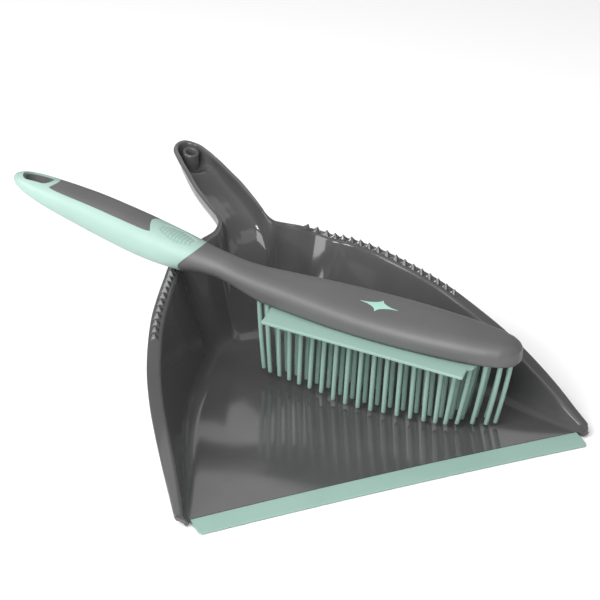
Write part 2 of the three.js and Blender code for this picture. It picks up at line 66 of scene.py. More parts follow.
# The post's hole: how much wider than BOSS["hole"] at each height from the top.
BOSS_BORE = [(0, -40), (0, -0.6), (0.16, -0.28), (0.55, 0.02), (0.6, 5)]
LIP = dict(half_width=117.6, depth=13.7, front=0.7, back=2.3, tongue=5.0, tongue_thick=0.6)
BRUSH = dict(x=86.8, y=27.0, z=46.0, heading=129.4, pitch=3.1)  # head end on the skirt plane
HEAD = dict(recess=3.0, plate_inset=2.4, hollow_inset=5.0, hollow_top=9.0, hollow_from=14.0,
            hollow_to=150.0)
INSERT = dict(start=4.6, end=164.6, above=2.6)
BLADE = dict(below=1.95, above=0.3, start=20.3, end=150.4)
# From the neck end round the free edge to the head end: s, t.
BLADE_EDGE = [(149.6, 16), (148.2, 20), (147, 31.4), (145.6, 31.4), (22.6, 31.4), (21.6, 30.8),
              (23.3, 20.5), (20.7, 17.5)]
FINGER = dict(rings=3, start=5.6, end=161.4, end_gap=8.6, inset=5.0, row_gap=7.2, round_from=36.0,
              pitch=8.2, apart=4.6, off_middle=0.85, root_r=1.5, tip_r=1.35, length=43.4, splay=0.05,
              extra=1.8, extra_from=42, extra_over=30, bulge=1.8, bulge_at=95, bulge_reach=17, bulge_fade=6,
              drawn_from=40, drawn_over=25, drawn_shorter=1.2, drawn_inwards=0.35)
LEAN = dict(head=6.0, head_from=45, head_over=20, neck=-5.5, neck_from=120, neck_over=42, neck_curve=1.4)
HOLE = dict(s=316.0, half_length=8.8, half_width=4.3, liner=1.5, liner_reach=2.6)
CORE = dict(start=190.0, before_hole=5, skin=2.6, ring_drop=1.4)
WINDOW_SPAN = dict(start=225, end=308, bottom=21.5)  # block of the grip that holds the window
PAD = dict(start=206.6, end=230.8, centre=2.0, half_width=5.7, depth=0.6, ribs=11, rib_height=0.65,
           rib_inset=0.8, slant=0.09, end_fade=16, ring_step=0.22)
EMBLEM = dict(s=86.0, t=4.6, long=12.0, short=6.6, curve=0.62, points=64, rings=7, sunk=0.25, proud=0.14)
GAP = 0.08  # joint line between mouldings that are pressed or moulded together
OPENING = 0.3  # clearance round the lip

# Pan, right half, from the front corner round to the handle tip. Each row is one cross-section:
# rim outer edge x,y,z | flange width | floor corner x,y,z | spine y,z | corner fillet | rim fillet
PAN_ROWS = np.array([
    [125.5, 14, 5.4, 3.6, 119.4, 14, 2.2, 14, 2.2, 3.4, 1.9],
    [123.8, 24, 9.6, 5.2, 115.4, 24, 2.2, 24, 2.2, 5, 2.2],
    [120.5, 44, 18.4, 6.6, 108.2, 43, 2.2, 42, 2.2, 7.5, 2.0],
    [116.2, 66, 26.6, 7.0, 100.6, 64, 2.2, 62, 2.2, 9, 1.7],
    [111.0, 88, 33.8, 7.0, 92.6, 85, 2.2, 82, 2.2, 9, 1.6],
    [103.8, 111, 40.4, 7.0, 83.2, 106, 2.2, 101, 2.2, 9, 1.6],
    [95.2, 131.8, 47.0, 7.0, 73.2, 126, 2.2, 119, 2.2, 9, 1.6],
    [84.4, 154.0, 52.2, 7.0, 62.2, 144, 2.2, 135, 2.2, 9, 1.6],
    [73.2, 172.2, 56.6, 7.0, 51.2, 161.4, 2.2, 150, 2.2, 9, 1.6],
    [62.2, 190.2, 58.4, 7.0, 41.6, 175.4, 2.2, 163, 2.2, 9, 1.6],
    [55.0, 203.4, 57.3, 6.8, 35.6, 183.2, 2.2, 171.6, 2.2, 9, 1.6],
    [47.4, 211.8, 58.9, 6.3, 29.4, 189, 2.2, 179.6, 2.2, 9, 1.6],
    [35.6, 215.4, 62.9, 5.4, 22.4, 194.4, 2.2, 186.8, 2.2, 9, 1.7],
    [27.6, 217.6, 65.0, 4.4, 17.4, 198.4, 3.2, 193.4, 2.7, 8, 1.7],
    [23.2, 217.9, 66.5, 3.7, 15.2, 202, 8.6, 199.6, 7.0, 7, 1.6],
    [19.9, 218.0, 68.0, 3.2, 13.9, 205.2, 22.5, 204, 20.0, 6.5, 1.5],
    [17.3, 219.3, 70.0, 2.7, 12.7, 209.6, 39.6, 208.6, 37.4, 6.5, 1.3],
    [15.2, 221.6, 72.8, 2.4, 11.6, 215.2, 52.2, 214.2, 50.6, 6.8, 1.1],
    [14.8, 226.4, 74.6, 2.3, 11.3, 222.8, 60.5, 222.6, 59.6, 7, 1],
    [15.0, 237.0, 76.0, 2.3, 11.6, 234.8, 64.4, 234.6, 63.8, 7.5, 1],
    [15.0, 248.6, 77.4, 2.3, 12.1, 247.6, 66.4, 247.4, 66.0, 7.5, 1],
    [14.8, 259.0, 78.7, 2.3, 12.2, 258.6, 68.0, 258.6, 67.6, 7, 1],
    [14.0, 269.4, 79.9, 2.3, 11.8, 269.2, 69.7, 269.2, 69.4, 6.3, 1],
    [13.0, 279.6, 81.3, 2.3, 10.9, 279.4, 72.0, 279.2, 71.7, 5.5, 1],
    [12.2, 288.0, 82.4, 2.3, 9.9, 288.0, 74.4, 286, 74.2, 5, 1],
    [11.6, 293.6, 82.9, 2.3, 9.0, 293.6, 75.2, 290, 75.0, 4.5, 1],
    [10.8, 300.0, 83.6, 2.3, 5.6, 299.0, 73.6, 294.6, 73.2, 5, 1],
    [9.8, 306.8, 84.1, 2.3, 4.6, 304.4, 72.9, 301.6, 72.6, 5, 1],
    [8.9, 311.1, 84.5, 2.3, 4.2, 308.8, 72.9, 306.6, 72.6, 4.4, 1],
    [7.2, 314.9, 84.8, 2.3, 3.6, 311.6, 73.0, 309.4, 72.8, 3.4, 1],
    [4.5, 318.1, 85.4, 2.3, 2.3, 313.6, 73.2, 310.8, 72.9, 2.8, 1],
    [2.0, 319.3, 85.9, 2.3, 1.1, 314.6, 73.2, 311.2, 73.0, 2.2, 1],
    [0, 319.6, 86.0, 2.3, 0, 314.8, 73.2, 311.4, 73.0, 2.0, 1],
])

# Brush skin along its length: s | half width | height of the widest line | above it | below it |
# roundness above | roundness below (1 is an ellipse, smaller is squarer)
SKIN = np.array([
    [0, 3.4, 5.2, 3.4, 4.2, 0.9, 0.6],
    [1.2, 6.6, 5, 5.0, 4.9, 0.86, 0.4],
    [3.6, 9.4, 5, 6.6, 5.0, 0.82, 0.3],
    [8, 12.4, 5, 7.8, 5, 0.8, 0.24],
    [16, 15.2, 5, 8.7, 5, 0.8, 0.22],
    [30, 17.8, 5, 9.4, 5, 0.8, 0.22],
    [48, 19.8, 5, 9.8, 5, 0.8, 0.22],
    [70, 21.0, 5, 10.0, 5, 0.8, 0.22],
    [92, 20.8, 5, 10.2, 5, 0.8, 0.22],
    [112, 19.2, 5, 10.4, 5, 0.8, 0.22],
    [130, 16.9, 5, 10.6, 5, 0.82, 0.22],
    [146, 14.6, 5.2, 10.4, 5.2, 0.85, 0.24],
    [158, 12.9, 5.8, 9.7, 5.8, 0.88, 0.26],
    [168, 11.5, 7.2, 8.5, 6.1, 0.93, 0.42],
    [178, 10.4, 9.0, 7.6, 6.4, 0.98, 0.66],
    [188, 9.9, 10.9, 7.5, 7.0, 1, 0.88],
    [200, 10.7, 11.7, 8.9, 8.0, 1, 1],
    [212, 12.3, 12.9, 10.4, 10.0, 1, 0.9],
    [224, 13.4, 14.4, 11.4, 11.2, 1, 0.88],
    [240, 14.0, 16.8, 12.1, 12.3, 1, 0.92],
    [258, 13.9, 19.8, 12.2, 12.4, 1, 1],
    [276, 13.5, 23.2, 11.4, 11.6, 1, 1],
    [292, 12.7, 26.0, 10.0, 10.4, 1, 1],
    [304, 11.9, 28.0, 8.8, 9.2, 1, 1],
    [314, 10.9, 29.8, 7.6, 7.8, 1, 1],
    [322, 9.2, 31.2, 6.2, 6.2, 1, 1],
    [328, 6.9, 32.3, 4.6, 4.6, 1, 1],
    [331.6, 4.2, 32.9, 2.9, 2.9, 1, 1],
    [333, 1.6, 33.2, 1.2, 1.2, 1, 1],
])
BRUSH_LENGTH = SKIN[-1, 0]
# Where the soft grip starts, seen from the side: height above the skirt plane | s
SEAM = [[-10, 210.5], [4, 210.5], [6.5, 212.6], [9, 213.2], [12, 211.6], [17, 206.8], [21, 202.6],
        [40, 184]]
# Rigid window flush in the top of the grip, each as s | half width: the hollow end at the hanging
# hole, the flank from its corner on, and the end at the thumb pad.
WINDOW_END = [[302, 0], [302.6, 2.9], [303.9, 5.4], [304.9, 6.8]]
WINDOW_FLANK = [[304.9, 6.8], [301.5, 7.6], [295, 8.2], [285, 8.7], [272, 9.1], [255, 9.3], [239, 9.2],
                [234.2, 8.4]]
WINDOW_NOTCH = [[234.2, 8.4], [236.4, 4.2], [237.6, 0]]


# ------------------------------------------------------------------ curves and tables
def row_at(rows, r):
    """Catmull-Rom row at fractional index r."""
    i = min(int(r), len(rows) - 2)
    f = r - i
    p = [rows[min(max(k, 0), len(rows) - 1)] for k in range(i - 1, i + 3)]
    m1, m2 = (p[2] - p[0]) / 2, (p[3] - p[1]) / 2
    return ((2 * f**3 - 3 * f**2 + 1) * p[1] + (f**3 - 2 * f**2 + f) * m1
            + (3 * f**2 - 2 * f**3) * p[2] + (f**3 - f**2) * m2)


def along(rows, s, column):
    """Value of a column where the first column equals s."""
    i = int(np.clip(np.searchsorted(rows[:, 0], s) - 1, 0, len(rows) - 2))
    f = (s - rows[i][0]) / (rows[i + 1][0] - rows[i][0])
    return row_at(rows, i + min(max(f, 0), 1))[column]


def smooth_polyline(points, splits=6):
    """Curve through the points, with the given number of steps between two of them."""
    rows = np.array(points, float)
    return [row_at(rows, k / splits) for k in range((len(rows) - 1) * splits + 1)]


def smoothstep(x):
    x = np.clip(x, 0, 1)
    return x * x * (3 - 2 * x)


def ramp(x):
    """x kept between 0 and 1."""
    return max(0.0, min(1.0, x))


def power(c, e):
    """c to the power e with its sign kept."""
    return np.sign(c) * np.abs(c) ** e


def unit(v):
    length = np.linalg.norm(v)
    return v / length if length > 1e-9 else v * 0


def bezier(a, k, b, count):
    """Points strictly between a and b on the curve that k pulls."""
    steps = [i / count for i in range(1, count)]
    return [a * (1 - f) ** 2 + k * 2 * f * (1 - f) + b * f**2 for f in steps]


def angles(count, offset=0.0):
    """Equal steps round a full turn, in radians."""
    return [2 * math.pi * (k + offset) / count for k in range(count)]


# ------------------------------------------------------------------ meshes
TO_FRAME = Matrix.Scale(MM, 4) @ Matrix.Translation((0, -ORIGIN_Y, 0))
TO_BRUSH = (TO_FRAME @ Matrix.Translation((BRUSH["x"], BRUSH["y"], BRUSH["z"]))
            @ Matrix.Rotation(math.radians(BRUSH["heading"]), 4, "Z")
            @ Matrix.Rotation(math.radians(-BRUSH["pitch"]), 4, "Y"))
SHARP_ANGLE = 34.0  # edges that turn more than this stay crisp


def make(name, points, faces):
    mesh = bpy.data.meshes.new(name)
    mesh.from_pydata([tuple(map(float, p)) for p in points], [], faces)
    mesh.validate()
    obj = bpy.data.objects.new(name, mesh)
    bpy.context.scene.collection.objects.link(obj)
    return obj


def join(name, parts):
    """One mesh holding several closed shells, given as (points, faces)."""
    points, faces = [], []
    for p, f in parts:
        k = len(points)
        points.extend(p)
        faces.extend([tuple(k + i for i in face) for face in f])
    return make(name, points, faces)


def weld(obj, dist=0.002):
    """Merges points that lie together, drops the slivers this leaves and turns all faces outwards."""
    bm = bmesh.new()
    bm.from_mesh(obj.data)
    bmesh.ops.remove_doubles(bm, verts=bm.verts, dist=dist)
    bmesh.ops.dissolve_degenerate(bm, dist=dist / 2, edges=bm.edges)
    bmesh.ops.recalc_face_normals(bm, faces=bm.faces)
    bm.to_mesh(obj.data)
    bm.free()
    return obj


def tube(rings):
    """Closed shell through rings of equal length, each anticlockwise seen from the far end."""
    rings = [np.asarray(r, float) for r in rings]
    n = len(rings[0])
    points = [p for r in rings for p in r]
    faces = []
    for i in range(len(rings) - 1):
        for j in range(n):
            a, b = i * n + j, i * n + (j + 1) % n
            faces.append((a, b, b + n, a + n))
    last = (len(rings) - 1) * n
    points += [rings[0].mean(0), rings[-1].mean(0)]
    for j in range(n):
        faces.append((len(points) - 2, (j + 1) % n, j))
        faces.append((len(points) - 1, last + j, last + (j + 1) % n))
    return points, faces


def prism(outline, z0, z1, axis="Z"):
    """Closed straight shell over a closed outline, anticlockwise seen from the axis' end."""
    lift = {"Z": lambda u, v, z: (u, v, z), "-Y": lambda u, v, z: (u, -z, v)}[axis]
    n = len(outline)
    points = [lift(u, v, z) for z in (z0, z1) for u, v in outline]
    faces = [(j, (j + 1) % n, n + (j + 1) % n, n + j) for j in range(n)]
    faces += [tuple(reversed(range(n))), tuple(range(n, 2 * n))]
    return points, faces


def boolean(target, tool, operation="DIFFERENCE"):
    """Applies the tool to the target and removes the tool."""
    mod = target.modifiers.new("boolean", "BOOLEAN")
    mod.operation, mod.solver, mod.object = operation, "MANIFOLD", tool
    mesh = bpy.data.meshes.new_from_object(target.evaluated_get(bpy.context.evaluated_depsgraph_get()))
    target.modifiers.clear()
    target.data = mesh
    bpy.data.objects.remove(tool)
    return target


def copy_of(obj, name):
    twin = bpy.data.objects.new(name, obj.data.copy())
    bpy.context.scene.collection.objects.link(twin)
    return twin


def finish_piece(obj, material, body, nodes=(), matrix=TO_FRAME, tidy=0.004):
    """Cleans a finished shape, places it, gives it a finish and makes it ride on its body."""
    bm = bmesh.new()
    bm.from_mesh(obj.data)
    bmesh.ops.dissolve_degenerate(bm, dist=tidy, edges=bm.edges)
    bmesh.ops.remove_doubles(bm, verts=bm.verts, dist=tidy)
    bm.to_mesh(obj.data)
    bm.free()
    obj.data.transform(matrix)
    for p in obj.data.polygons:
        p.use_smooth = True
    obj.data.set_sharp_from_angle(angle=math.radians(SHARP_ANGLE))
    obj.data.materials.clear()
    obj.data.materials.append(material)
    obj.data.update()
    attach(obj, body)
    if nodes:
        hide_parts(*nodes)


# ------------------------------------------------------------------ materials
def nodes_of(name, colour, roughness):
    mat = bpy.data.materials.new(name)
    mat.use_nodes = True
    tree = mat.node_tree
    shader = tree.nodes["Principled BSDF"]
    shader.inputs["Base Color"].default_value = (*colour, 1)
    shader.inputs["Roughness"].default_value = roughness
    return mat, tree, shader


def node(tree, kind, links=(), **settings):
    made = tree.nodes.new(kind)
    for key, value in settings.items():
        if key in made.inputs:
            made.inputs[key].default_value = value
        else:
            setattr(made, key, value)
    for socket, source in links:
        tree.links.new(source, made.inputs[socket])
    return made


def mix_colour(tree, factor, a, b):
    made = node(tree, "ShaderNodeMix", data_type="RGBA")
    tree.links.new(factor, made.inputs["Factor"])
    made.inputs["A"].default_value = (*a, 1)
    made.inputs["B"].default_value = (*b, 1)
    return made.outputs["Result"]


def map_range(tree, source, low, high, to_low=0.0, to_high=1.0):
    made = node(tree, "ShaderNodeMapRange", [("Value", source)])
    for key, value in (("From Min", low), ("From Max", high), ("To Min", to_low), ("To Max", to_high)):
        made.inputs[key].default_value = value
    return made.outputs["Result"]


def noise(tree, place, scale, detail):
    return node(tree, "ShaderNodeTexNoise", [("Vector", place)], Scale=scale, Detail=detail).outputs["Fac"]


CLOUD_SCALE = 26.0
MARK_STRETCH, MARK_TURN = (60.0, 900.0, 60.0), (0.2, 0.1, 0.6)


def plastic(name, light, dark, rough, grain, speckle_scale):
    """Moulded plastic: cloudy colour, uneven gloss with fine rubbing marks, and a slight skin texture.

    rough holds the least and the most roughness and what a rubbing mark adds to it; grain holds the
    strength and the height of the skin texture."""
    least, most, rubbed = rough
    strength, height = grain
    mat, tree, shader = nodes_of(name, light, least)
    place = node(tree, "ShaderNodeTexCoord").outputs["Object"]
    cloud = noise(tree, place, CLOUD_SCALE, 3.0)
    stretch = node(tree, "ShaderNodeMapping", [("Vector", place)], Scale=MARK_STRETCH, Rotation=MARK_TURN)
    marks = noise(tree, stretch.outputs["Vector"], 1.0, 4.0)
    colour = mix_colour(tree, map_range(tree, cloud, 0.35, 0.65), light, dark)
    patches = map_range(tree, cloud, 0.3, 0.7, least, most)
    marked = map_range(tree, marks, 0.56, 0.74, 0.0, rubbed)
    total = node(tree, "ShaderNodeMath", [(0, patches), (1, marked)], operation="ADD")
    bump = node(tree, "ShaderNodeBump", [("Height", noise(tree, place, speckle_scale, 2.0))],
                Strength=strength, Distance=height)
    for socket, source in (("Base Color", colour), ("Roughness", total.outputs["Value"]),
                           ("Normal", bump.outputs["Normal"])):
        tree.links.new(source, shader.inputs[socket])
    return mat


GREY = plastic("gloss_grey_pp", (0.064, 0.063, 0.064), (0.056, 0.055, 0.056), (0.09, 0.12, 0.04),
               (0.03, 0.0002), 900.0)
SATIN = plastic("satin_grey_pp", (0.081, 0.080, 0.081), (0.073, 0.072, 0.074), (0.44, 0.5, 0.05),
                (0.05, 0.0002), 900.0)
MINT = plastic("mint_tpe", (0.252, 0.365, 0.325), (0.236, 0.345, 0.305), (0.42, 0.49, 0.05),
               (0.10, 0.0002), 1400.0)
# The grip's mint rubber again, made darker: painted shade on the lip, blade and fingers, standing in for
# the lesser light they get.
MINT_SHADED = plastic("mint_tpe_shaded", (0.214, 0.326, 0.286), (0.199, 0.307, 0.269), (0.45, 0.52, 0.05),
                    (0.08, 0.0002), 1400.0)
PRINT = plastic("mint_print", (0.30, 0.50, 0.43), (0.28, 0.47, 0.41), (0.42, 0.5, 0.05),
                (0.05, 0.0001), 1600.0)


# ------------------------------------------------------------------ pan
def bow_at(x):
    """How far back the bow moves the front edge at x; it is 0 at the ends."""
    return PAN["bow"] * (1 - (x / PAN["bow_half_width"]) ** 2)


def pan_section(row):
    """One pan cross-section on the right half, rim edge first, spine last."""
    rx, ry, rz, flange, kx, ky, kz, sy, sz, corner_r, rim_r = row
    rim, corner, spine = np.array([rx, ry, rz]), np.array([kx, ky, kz]), np.array([0, sy, sz])
    inward = unit(np.array([kx - rx, ky - ry, 0]))
    if not inward.any():
        inward = np.array([0, -1.0, 0])
    edge = rim + inward * flange
    wall_length = np.linalg.norm(corner - edge)
    down = unit(corner - edge)
    r1 = min(rim_r, flange * 0.55, wall_length * 0.3)
    a1, b1 = edge - inward * r1, edge + down * r1
    floor_length = np.linalg.norm(spine - corner)
    to_spine = unit(spine - corner)
    r2, r2b = min(corner_r, wall_length * 0.6), min(corner_r, floor_length * 0.85)
    a2, b2 = corner - down * r2, corner + to_spine * r2b
    points = [rim, rim + (a1 - rim) * 0.5, a1, *bezier(a1, edge, b1, 6), b1]
    points += [b1 + (a2 - b1) * k / 5 for k in range(1, 6)]
    points += [*bezier(a2, corner, b2, 10), b2, *[b2 + (spine - b2) * k / 6 for k in range(1, 7)]]
    for p in points:
        if abs(p[0]) < PAN["bow_half_width"]:
            p[1] += bow_at(p[0]) * max(0, 1 - (p[1] - PAN["front_y"]) / PAN["bow_fade"])
    return np.array(points)


def pan_grid(splits=7):
    """Inner face of the pan: rows of points from the left rim over the spine to the right rim."""
    sections = [pan_section(row_at(PAN_ROWS, k / splits)) for k in range((len(PAN_ROWS) - 1) * splits + 1)]
    for p in sections[0]:
        across = (p[0] - PAN["ear_x"]) / PAN["ear_half_width"]
        if abs(across) < 1:
            p[1] -= PAN["ear_reach"] * math.sqrt(1 - across**2)
    for s in sections:
        s[-1][0] = 0
    sections[-1][:, 0] = 0
    mirror = np.array([-1, 1, 1])
    return sections, np.array([np.vstack([s * mirror, s[-2::-1]]) for s in sections])


def grid_normals(grid):
    """Unit normals of the pan's inner face, pointing into the pan."""
    normals = np.zeros_like(grid)
    a, b, c, d = grid[:-1, :-1], grid[:-1, 1:], grid[1:, 1:], grid[1:, :-1]
    face = np.cross(c - a, d - b)
    for rows in (slice(None, -1), slice(1, None)):
        for columns in (slice(None, -1), slice(1, None)):
            normals[rows, columns] += face
    normals[-1] += normals[-1, ::-1] * np.array([-1, 1, 1])  # both halves meet at the handle's tip
    normals[np.abs(grid[:, :, 0]) < 1e-9, 0] = 0
    normals /= np.linalg.norm(normals, axis=2, keepdims=True) + 1e-12
    if normals[0, grid.shape[1] // 2, 2] < 0:
        normals = -normals
    normals[0, :, 1] = 0  # the front face stays upright
    return normals / (np.linalg.norm(normals, axis=2, keepdims=True) + 1e-12)


def rim_arc(rim, beside, up, wall, steps=4):
    """Rounded rim edge between the flange's top and underside points."""
    out = unit(rim - beside)
    out = unit(out - up * np.dot(out, up))
    r = PAN["rim_round"]
    arc = []
    for centre, a0 in ((rim - up * r, 90.0), (rim - up * (wall - r), 0.0)):
        for k in range(steps):
            a = math.radians(a0 - 90.0 * (k + (0 if a0 == 0 else 1)) / steps)
            arc.append(centre + (up * math.sin(a) + out * math.cos(a)) * r)
    return arc


def walled_grid(grid, wall):
    """Closed shell: the inner face, the same face moved out by the wall, and rounded rims between."""
    loops = []
    for g, n in zip(grid, grid_normals(grid)):
        under = g - n * wall
        right = rim_arc(g[-1], g[-2], n[-1], wall)
        left = rim_arc(g[0], g[1], n[0], wall)
        loops.append(np.vstack([g, right, under[::-1], left[::-1]]))
    width, count = grid.shape[1], len(loops[0])
    faces = []
    for i in range(len(loops) - 1):
        for j in range(count):
            a, b = i * count + j, i * count + (j + 1) % count
            faces.append((a, b, b + count, a + count))
    arc = (count - 2 * width) // 2
    for j in range(width - 1):  # front face of the floor and the side walls
        faces.append((j, 2 * width + arc - 1 - j, 2 * width + arc - 2 - j, j + 1))
    faces.append(tuple(range(width - 1, width + arc + 1)))
    faces.append((0, *reversed(range(2 * width + arc - 1, count))))
    return np.vstack(loops), faces


def pan_shell():
    """The pan's moulding: walls, teeth, post with its hole, and the rabbet that takes the lip."""
    sections, grid = pan_grid()
    shell = weld(make("pan_shell_visual", *walled_grid(grid, PAN["wall"])))
    boolean(shell, weld(join("teeth", comb_teeth(sections))), "UNION")
    boolean(shell, weld(boss()), "UNION")
    boolean(shell, weld(boss_bore()))
    start, end, height = PAN["front_y"] - 3, PAN["front_y"] + PAN["rabbet_depth"], PAN["rabbet_height"]
    step = [(start, -1), (end, -1), (end, height), (start, height)]
    boolean(shell, weld(make("rabbet", *lip_strip(step, LIP["half_width"] + OPENING, 0))))
    return shell


def boss():
    """Post with a rounded, slanted top that carries the hanging hole."""
    y, top, r, q = BOSS["y"], BOSS["top"], BOSS["radius"], BOSS["round"]
    arc = [(r - q + q * math.cos(a), top - q + q * math.sin(a)) for a in np.radians([0, 22, 45, 67, 90])]
    rings = []
    for u, v, z in BOSS_FOOT + [(w, w, h) for w, h in arc]:
        slant = BOSS["slant"] if z > top - BOSS["slant_depth"] else 0
        rings.append([(u * math.cos(a), y + v * math.sin(a), z + slant * v * math.sin(a))
                      for a in angles(48)])
    return make("boss", *tube(rings))


def boss_bore():
    """Hanging hole through the post, with a rounded edge at its slanted top."""
    rings = []
    for wider, rise in BOSS_BORE:
        q, h = BOSS["hole"] + wider, BOSS["top"] + rise
        rings.append([(q * math.cos(a), BOSS["y"] + q * math.sin(a), h + BOSS["slant"] * q * math.sin(a))
                      for a in angles(48)])
    return make("bore", *tube(rings))


def comb_teeth(sections):
    """Pyramid teeth standing on the rim flange, both sides, spaced from the handle root."""
    line = [s[0] * 0.45 + s[2] * 0.55 for s in sections][::-1]
    root = next(i for i, p in enumerate(line) if p[0] > TEETH["first_x"])
    before, after = line[root - 1], line[root]
    start = before + (after - before) * (TEETH["first_x"] - before[0]) / (after[0] - before[0])
    line = [start] + line[root:]
    teeth, walked, wanted, i, made = [], 0.0, 0.0, 0, 0
    while made < TEETH["right"]:
        step = np.linalg.norm(line[i + 1] - line[i])
        if walked + step < wanted:
            walked, i = walked + step, i + 1
            continue
        at = line[i] + (line[i + 1] - line[i]) * (wanted - walked) / step
        tangent = unit(line[i + 1] - line[i])
        for side in (1, -1) if made < TEETH["left"] else (1,):
            flip = np.array([side, 1, 1])
            teeth.append(tooth(at * flip, tangent * flip))
        wanted, made = wanted + TEETH["pitch"], made + 1
    return teeth


def tooth(at, tangent):
    """Four-sided pyramid with rounded corners, its foot sunk in the flange."""
    across = unit(np.array([-tangent[1], tangent[0], 0]))
    up = np.cross(tangent, across)
    if up[2] < 0:
        up, across = -up, -across
    rings = []
    half_l, half_w, h = TEETH["length"] / 2, TEETH["width"] / 2, TEETH["height"]
    for level, f, r in ((-TEETH["sink"], 1.0, 0.25), (0.15, 0.97, 0.25), (0.5 * h, 0.50, 0.3),
                        (0.8 * h, 0.24, 0.24), (0.96 * h, 0.13, 0.2), (h, 0.05, 0.1)):
        ring = []
        for sx, sy, a0 in ((-1, -1, 180), (1, -1, 270), (1, 1, 0), (-1, 1, 90)):
            for k in range(3):
                a = math.radians(a0 + 45 * k)
                x = sx * max(half_l * f - r, 0.0) + r * math.cos(a)
                y = sy * max(half_w * f - r, 0.0) + r * math.sin(a)
                ring.append(at + tangent * x + across * y + up * level)
        rings.append(ring)
    return tube(rings)


def lip_strip(profile, half_width, end_round, count=60):
    """Strip along the bowed front edge from a closed y,z profile, anticlockwise seen from +X."""
    xs = [(-half_width + 2 * half_width * k / count, 0.0) for k in range(count + 1)]
    if end_round:
        r = end_round
        ends = [(r * (1 - math.sin(a)), r * (1 - math.cos(a))) for a in np.radians(np.linspace(90, 0, 9))]
        left = [(-half_width + dx, back) for dx, back in ends]
        middle = [p for p in xs if abs(p[0]) < half_width - r * 1.05]
        xs = left + middle + [(-x, back) for x, back in reversed(left)]
    return tube([[(x, max(y, back) + bow_at(x), z) for y, z in profile] for x, back in xs])


def lip():
    """Soft strip with a blunt front edge and a thin tongue that reaches into the rabbet."""
    front, back, depth = LIP["front"], LIP["back"], LIP["depth"]
    tongue = depth + LIP["tongue"]
    profile = [(0.15, 0.0), (tongue - 0.2, 0), (tongue, 0.15), (tongue, LIP["tongue_thick"] - 0.1),
               (tongue - 0.1, LIP["tongue_thick"]), (depth, LIP["tongue_thick"]), (depth, back - 0.45),
               (depth - 0.13, back - 0.13), (depth - 0.45, back), (depth - 1.4, back - 0.03),
               (depth * 0.72, 2.05), (depth * 0.45, 1.66), (depth * 0.22, 1.2), (1.2, front + 0.22),
               (0.45, front + 0.03), (0.12, front - 0.12), (0, front - 0.35), (0.03, 0.12)]
    return weld(make("pan_lip_visual", *lip_strip(profile, LIP["half_width"], 2.6)))


finish_piece(pan_shell(), GREY, "pan", ["pan_shell"])
# The lip takes the darker copy of the mint rubber: painted shade on the same rubber as the grip.
finish_piece(lip(), MINT_SHADED, "pan", ["pan_lip"])


# ------------------------------------------------------------------ brush, in its own frame
# x runs along the brush from the head end, y to the near side, z up from the skirt plane.
def skin_ring(row, shrink, count):
    """One cross-section of the brush, drawn in by shrink."""
    s, w, mid, up, down, e_up, e_down = row
    a = np.array(angles(count))
    c, d = np.cos(a), np.sin(a)
    e = np.where(d >= 0, e_up, e_down)
    h = np.maximum(0.3, np.where(d >= 0, up, down) - shrink)
    return np.stack([np.full(count, s), max(0.3, w - shrink) * power(c, e), mid + h * power(d, e)], 1)


def skin_row(s):
    return np.array([s, *[along(SKIN, s, k) for k in range(1, SKIN.shape[1])]])


def skin_top(s, t):
    """Height of the brush's upper surface."""
    _, w, mid, up, _, e, _ = skin_row(s)
    c = min(abs(t) / w, 1) ** (1 / e)
    return mid + up * math.sqrt(max(0, 1 - c * c)) ** e


def thumb_pad(ring, s):
    """Sinks a lens-shaped pad into the grip's top and leaves cross ribs standing in it."""
    f = (s - PAD["start"]) / (PAD["end"] - PAD["start"])
    if not 0 < f < 1:
        return ring
    fade, inset = PAD["end_fade"], PAD["rib_inset"]
    half = PAD["half_width"] * math.sin(math.pi * (0.05 + 0.9 * f)) ** 0.6
    across, top = ring[:, 1] - PAD["centre"], ring[:, 2] > skin_row(s)[2]
    inside = smoothstep(half - np.abs(across)) * smoothstep(f * fade) * smoothstep((1 - f) * fade) * top
    ribbed = smoothstep((half - inset - np.abs(across)) / inset)
    wave = smoothstep(0.5 - 0.5 * np.cos(2 * np.pi * (f * PAD["ribs"] - PAD["slant"] * across)))
    ring[:, 2] += inside * (PAD["rib_height"] * wave * ribbed - PAD["depth"])
    return ring


def skin_solid(name, s0=0.0, s1=BRUSH_LENGTH, shrink=0.0, step=1.2, count=96, pad=False):
    """The brush's outer shape between two stations, drawn in by shrink, with or without the thumb pad."""
    stations = list(np.linspace(s0, s1, max(2, int((s1 - s0) / step))))
    if pad:
        stations = [s for s in stations if not PAD["start"] - 1 < s < PAD["end"] + 1]
        stations += list(np.arange(PAD["start"] - 1, PAD["end"] + 1.01, PAD["ring_step"]))
    if s0 == 0:  # closer rings where the head end rounds off
        stations += [0.25, 0.5, 0.8, 1.2, 1.7, 2.3, 3.0]
    rings = []
    for s in sorted(set(stations)):
        row = skin_row(s)
        ring = skin_ring(row, shrink, count)
        rings.append(thumb_pad(ring, s) if pad else ring)
    return weld(make(name, *tube(rings)))


def head_outline(inset, s0, s1, count=60):
    """Outline of the head seen from above, drawn in by inset, between two stations."""
    near = []
    for k in range(count + 1):
        s = s0 + (s1 - s0) * (0.5 - 0.5 * math.cos(math.pi * k / count))
        near.append((s, max(0.8, along(SKIN, s, 1) - inset)))
    return [(s, -w) for s, w in near] + near[::-1]


def seam_solid(shift):
    """Everything on the grip's side of the joint line, as a wide block."""
    line = [(s + shift, z) for z, s in smooth_polyline(SEAM)]
    behind, half_width = 400, 30  # well past the end and the sides of the brush
    outline = line + [(behind, SEAM[-1][0]), (behind, SEAM[0][0])]
    return weld(make("seam", *prism(outline, -half_width, half_width, "-Y")))


